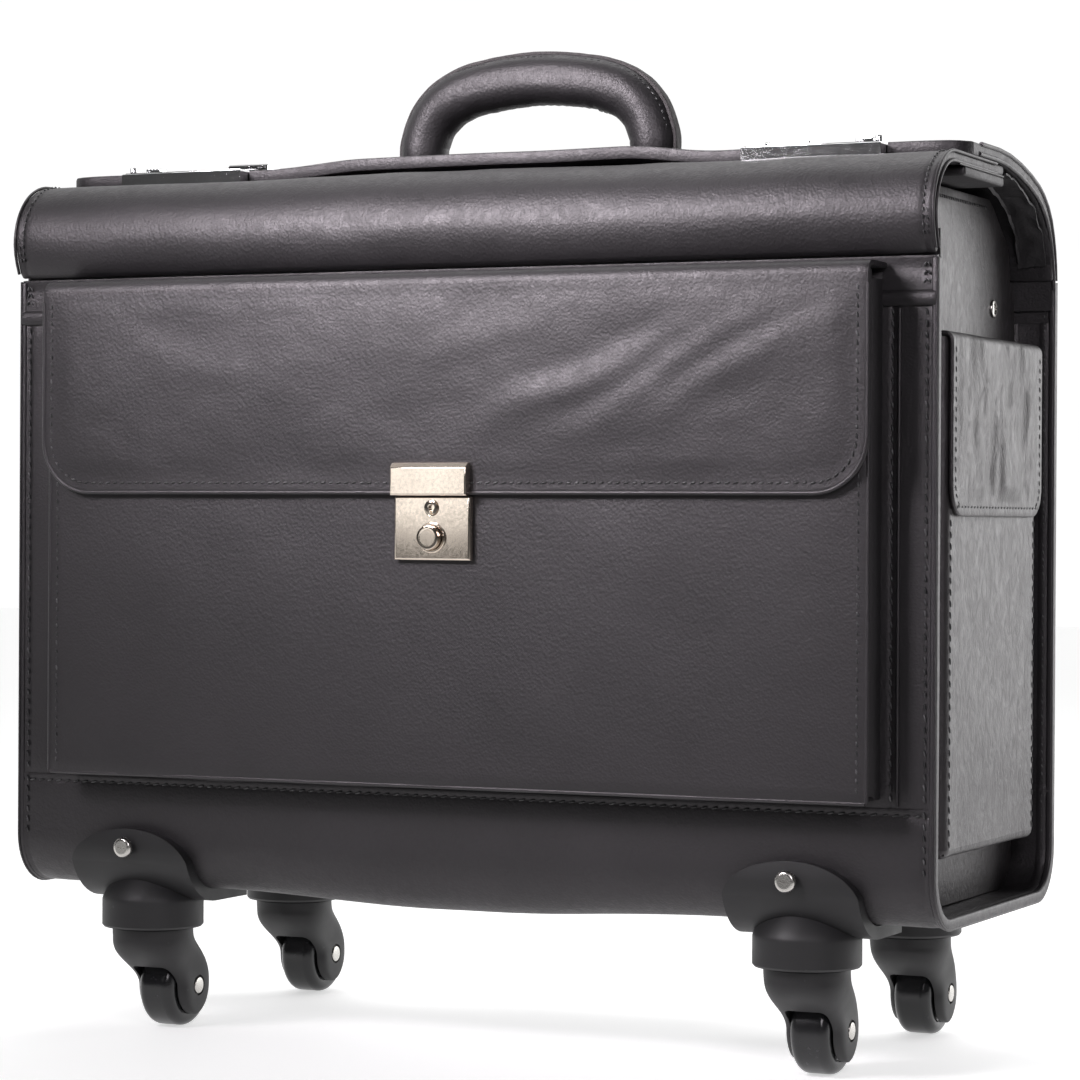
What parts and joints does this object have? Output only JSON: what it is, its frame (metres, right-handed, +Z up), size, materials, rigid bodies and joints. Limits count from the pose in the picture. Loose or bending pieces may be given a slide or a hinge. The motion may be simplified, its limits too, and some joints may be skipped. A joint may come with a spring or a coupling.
{
  "type": "pilot rolling flight case",
  "caption": "Soft-sided black leather-look rolling case with overlapping top flaps, front lock pocket, end pockets, carry handle and a telescopic pull handle.",
  "frame": {"origin": "on the ground, under the middle of the object's overall box", "axes": "+X along the front to the right as seen from the front, +Y from the front to the back, +Z up"},
  "size_m": [0.47, 0.23, 0.4735],
  "materials": {
    "black_leather": "satin",
    "black_plastic": "matte",
    "wheel_rubber": "satin",
    "lock_nickel": "polished",
    "latch_chrome": "polished",
    "stitch_thread": "satin",
    "inner_lining": "matte",
    "steel": "satin",
    "aluminium_tube": "satin"
  },
  "bodies": {
    "case": {"base_tray": "black_leather", "front_panel": "black_leather", "back_panel": "black_leather", "front_hinge_strip": "black_leather", "back_hinge_strip": "black_leather", "end_panel_left": "black_leather", "end_panel_right": "black_leather", "front_pocket": "black_leather", "lock_body": "lock_nickel", "side_pocket_left": "black_leather", "side_pocket_right": "black_leather", "caster_bracket_front_left": "black_plastic", "caster_bracket_front_right": "black_plastic", "caster_bracket_back_left": "black_plastic", "caster_bracket_back_right": "black_plastic", "outer_tube_left": "aluminium_tube", "outer_tube_right": "aluminium_tube", "pull_handle_foot": "black_plastic", "pull_handle_guide": "black_plastic"},
    "rear_flap": {"rear_flap": "black_leather", "carry_handle": "black_leather", "latch_body_left": "latch_chrome", "latch_body_right": "latch_chrome"},
    "front_flap": {"front_flap": "black_leather", "latch_keeper_left": "steel", "latch_keeper_right": "steel"},
    "pocket_flap": {"front_pocket_flap": "black_leather", "lock_strike_plate": "lock_nickel"},
    "lock_button": {"lock_button": "lock_nickel"},
    "lock_key_barrel": {"lock_key_barrel": "lock_nickel"},
    "side_flap_left": {"side_pocket_flap_left": "black_leather"},
    "side_flap_right": {"side_pocket_flap_right": "black_leather"},
    "pull_middle": {"middle_tube_left": "aluminium_tube", "middle_tube_right": "aluminium_tube"},
    "pull_grip": {"inner_tube_left": "aluminium_tube", "inner_tube_right": "aluminium_tube", "pull_grip": "black_plastic"},
    "pull_button": {"pull_grip_button": "steel"},
    "latch_dial_left_1": {"latch_dial_left_1": "steel"},
    "latch_dial_left_2": {"latch_dial_left_2": "steel"},
    "latch_dial_left_3": {"latch_dial_left_3": "steel"},
    "latch_slider_left": {"latch_slider_left": "latch_chrome"},
    "latch_lever_left": {"latch_lever_left": "latch_chrome"},
    "latch_dial_right_1": {"latch_dial_right_1": "steel"},
    "latch_dial_right_2": {"latch_dial_right_2": "steel"},
    "latch_dial_right_3": {"latch_dial_right_3": "steel"},
    "latch_slider_right": {"latch_slider_right": "latch_chrome"},
    "latch_lever_right": {"latch_lever_right": "latch_chrome"},
    "caster_fork_front_left": {"caster_fork_front_left": "black_plastic", "caster_axle_front_left": "steel"},
    "caster_wheel_front_left": {"caster_wheel_front_left": "wheel_rubber"},
    "caster_fork_front_right": {"caster_fork_front_right": "black_plastic", "caster_axle_front_right": "steel"},
    "caster_wheel_front_right": {"caster_wheel_front_right": "wheel_rubber"},
    "caster_fork_back_left": {"caster_fork_back_left": "black_plastic", "caster_axle_back_left": "steel"},
    "caster_wheel_back_left": {"caster_wheel_back_left": "wheel_rubber"},
    "caster_fork_back_right": {"caster_fork_back_right": "black_plastic", "caster_axle_back_right": "steel"},
    "caster_wheel_back_right": {"caster_wheel_back_right": "wheel_rubber"}
  },
  "joints": [
    {"name": "rear_flap_hinge", "type": "hinge", "parent": "case", "child": "rear_flap", "pos_m": [0, 0.093, 0.364], "axis": [1, 0, 0], "range_deg": [-100, 0]},
    {"name": "front_flap_hinge", "type": "hinge", "parent": "case", "child": "front_flap", "pos_m": [0, -0.085, 0.364], "axis": [1, 0, 0], "range_deg": [0, 70]},
    {"name": "pocket_flap_hinge", "type": "hinge", "parent": "case", "child": "pocket_flap", "pos_m": [0.003, -0.0853, 0.3611], "axis": [-1, 0, 0], "range_deg": [0, 65]},
    {"name": "lock_button_press", "type": "slide", "parent": "case", "child": "lock_button", "axis": [0, 1, 0], "range_m": [0, 0.002], "stiffness_N_per_m": 300},
    {"name": "lock_key_turn", "type": "hinge", "parent": "case", "child": "lock_key_barrel", "pos_m": [0.003, -0.1102, 0.2536], "axis": [0, -1, 0], "range_deg": [0, 90]},
    {"name": "side_flap_hinge_left", "type": "hinge", "parent": "case", "child": "side_flap_left", "pos_m": [-0.2153, 0.004, 0.3325], "axis": [0, 1, 0], "range_deg": [0, 85]},
    {"name": "side_flap_hinge_right", "type": "hinge", "parent": "case", "child": "side_flap_right", "pos_m": [0.2153, 0.004, 0.3325], "axis": [0, -1, 0], "range_deg": [0, 85]},
    {"name": "latch_dial_turn_left_1", "type": "hinge", "parent": "rear_flap", "child": "latch_dial_left_1", "pos_m": [-0.1715, -0.04, 0.4153], "axis": [1, 0, 0], "continuous": true},
    {"name": "latch_dial_turn_left_2", "type": "hinge", "parent": "rear_flap", "child": "latch_dial_left_2", "pos_m": [-0.1635, -0.04, 0.4153], "axis": [1, 0, 0], "continuous": true},
    {"name": "latch_dial_turn_left_3", "type": "hinge", "parent": "rear_flap", "child": "latch_dial_left_3", "pos_m": [-0.1555, -0.04, 0.4153], "axis": [1, 0, 0], "continuous": true},
    {"name": "latch_slide_left", "type": "slide", "parent": "rear_flap", "child": "latch_slider_left", "axis": [-1, 0, 0], "range_m": [0, 0.005], "stiffness_N_per_m": 200},
    {"name": "latch_lever_hinge_left", "type": "hinge", "parent": "rear_flap", "child": "latch_lever_left", "pos_m": [-0.142, -0.013, 0.4178], "axis": [-1, 0, 0], "range_deg": [0, 60]},
    {"name": "latch_dial_turn_right_1", "type": "hinge", "parent": "rear_flap", "child": "latch_dial_right_1", "pos_m": [0.1555, -0.04, 0.4153], "axis": [1, 0, 0], "continuous": true},
    {"name": "latch_dial_turn_right_2", "type": "hinge", "parent": "rear_flap", "child": "latch_dial_right_2", "pos_m": [0.1635, -0.04, 0.4153], "axis": [1, 0, 0], "continuous": true},
    {"name": "latch_dial_turn_right_3", "type": "hinge", "parent": "rear_flap", "child": "latch_dial_right_3", "pos_m": [0.1715, -0.04, 0.4153], "axis": [1, 0, 0], "continuous": true},
    {"name": "latch_slide_right", "type": "slide", "parent": "rear_flap", "child": "latch_slider_right", "axis": [1, 0, 0], "range_m": [0, 0.005], "stiffness_N_per_m": 200},
    {"name": "latch_lever_hinge_right", "type": "hinge", "parent": "rear_flap", "child": "latch_lever_right", "pos_m": [0.142, -0.013, 0.4178], "axis": [-1, 0, 0], "range_deg": [0, 60]},
    {"name": "caster_swivel_front_left", "type": "hinge", "parent": "case", "child": "caster_fork_front_left", "pos_m": [-0.1692, -0.0666, 0.0504], "axis": [0, 0, 1], "continuous": true},
    {"name": "caster_roll_front_left", "type": "hinge", "parent": "caster_fork_front_left", "child": "caster_wheel_front_left", "pos_m": [-0.1692, -0.0462, 0.02], "axis": [1, 0, 0], "continuous": true},
    {"name": "caster_swivel_front_right", "type": "hinge", "parent": "case", "child": "caster_fork_front_right", "pos_m": [0.1692, -0.0666, 0.0504], "axis": [0, 0, 1], "continuous": true},
    {"name": "caster_roll_front_right", "type": "hinge", "parent": "caster_fork_front_right", "child": "caster_wheel_front_right", "pos_m": [0.1692, -0.0462, 0.02], "axis": [1, 0, 0], "continuous": true},
    {"name": "caster_swivel_back_left", "type": "hinge", "parent": "case", "child": "caster_fork_back_left", "pos_m": [-0.1692, 0.0746, 0.0504], "axis": [0, 0, 1], "continuous": true},
    {"name": "caster_roll_back_left", "type": "hinge", "parent": "caster_fork_back_left", "child": "caster_wheel_back_left", "pos_m": [-0.1692, 0.095, 0.02], "axis": [1, 0, 0], "continuous": true},
    {"name": "caster_swivel_back_right", "type": "hinge", "parent": "case", "child": "caster_fork_back_right", "pos_m": [0.1692, 0.0746, 0.0504], "axis": [0, 0, 1], "continuous": true},
    {"name": "caster_roll_back_right", "type": "hinge", "parent": "caster_fork_back_right", "child": "caster_wheel_back_right", "pos_m": [0.1692, 0.095, 0.02], "axis": [1, 0, 0], "continuous": true},
    {"name": "pull_middle_slide", "type": "slide", "parent": "case", "child": "pull_middle", "axis": [0, 0, 1], "range_m": [0, 0.225]},
    {"name": "pull_grip_slide", "type": "slide", "parent": "pull_middle", "child": "pull_grip", "axis": [0, 0, 1], "range_m": [0, 0.225]},
    {"name": "pull_button_press", "type": "slide", "parent": "pull_grip", "child": "pull_button", "axis": [0, 0, -1], "range_m": [0, 0.003], "stiffness_N_per_m": 300}
  ],
  "couplings": [
    {"joint": "front_flap_hinge", "follows": "rear_flap_hinge", "ratio": -0.7},
    {"joint": "pull_grip_slide", "follows": "pull_middle_slide", "ratio": 1}
  ]
}
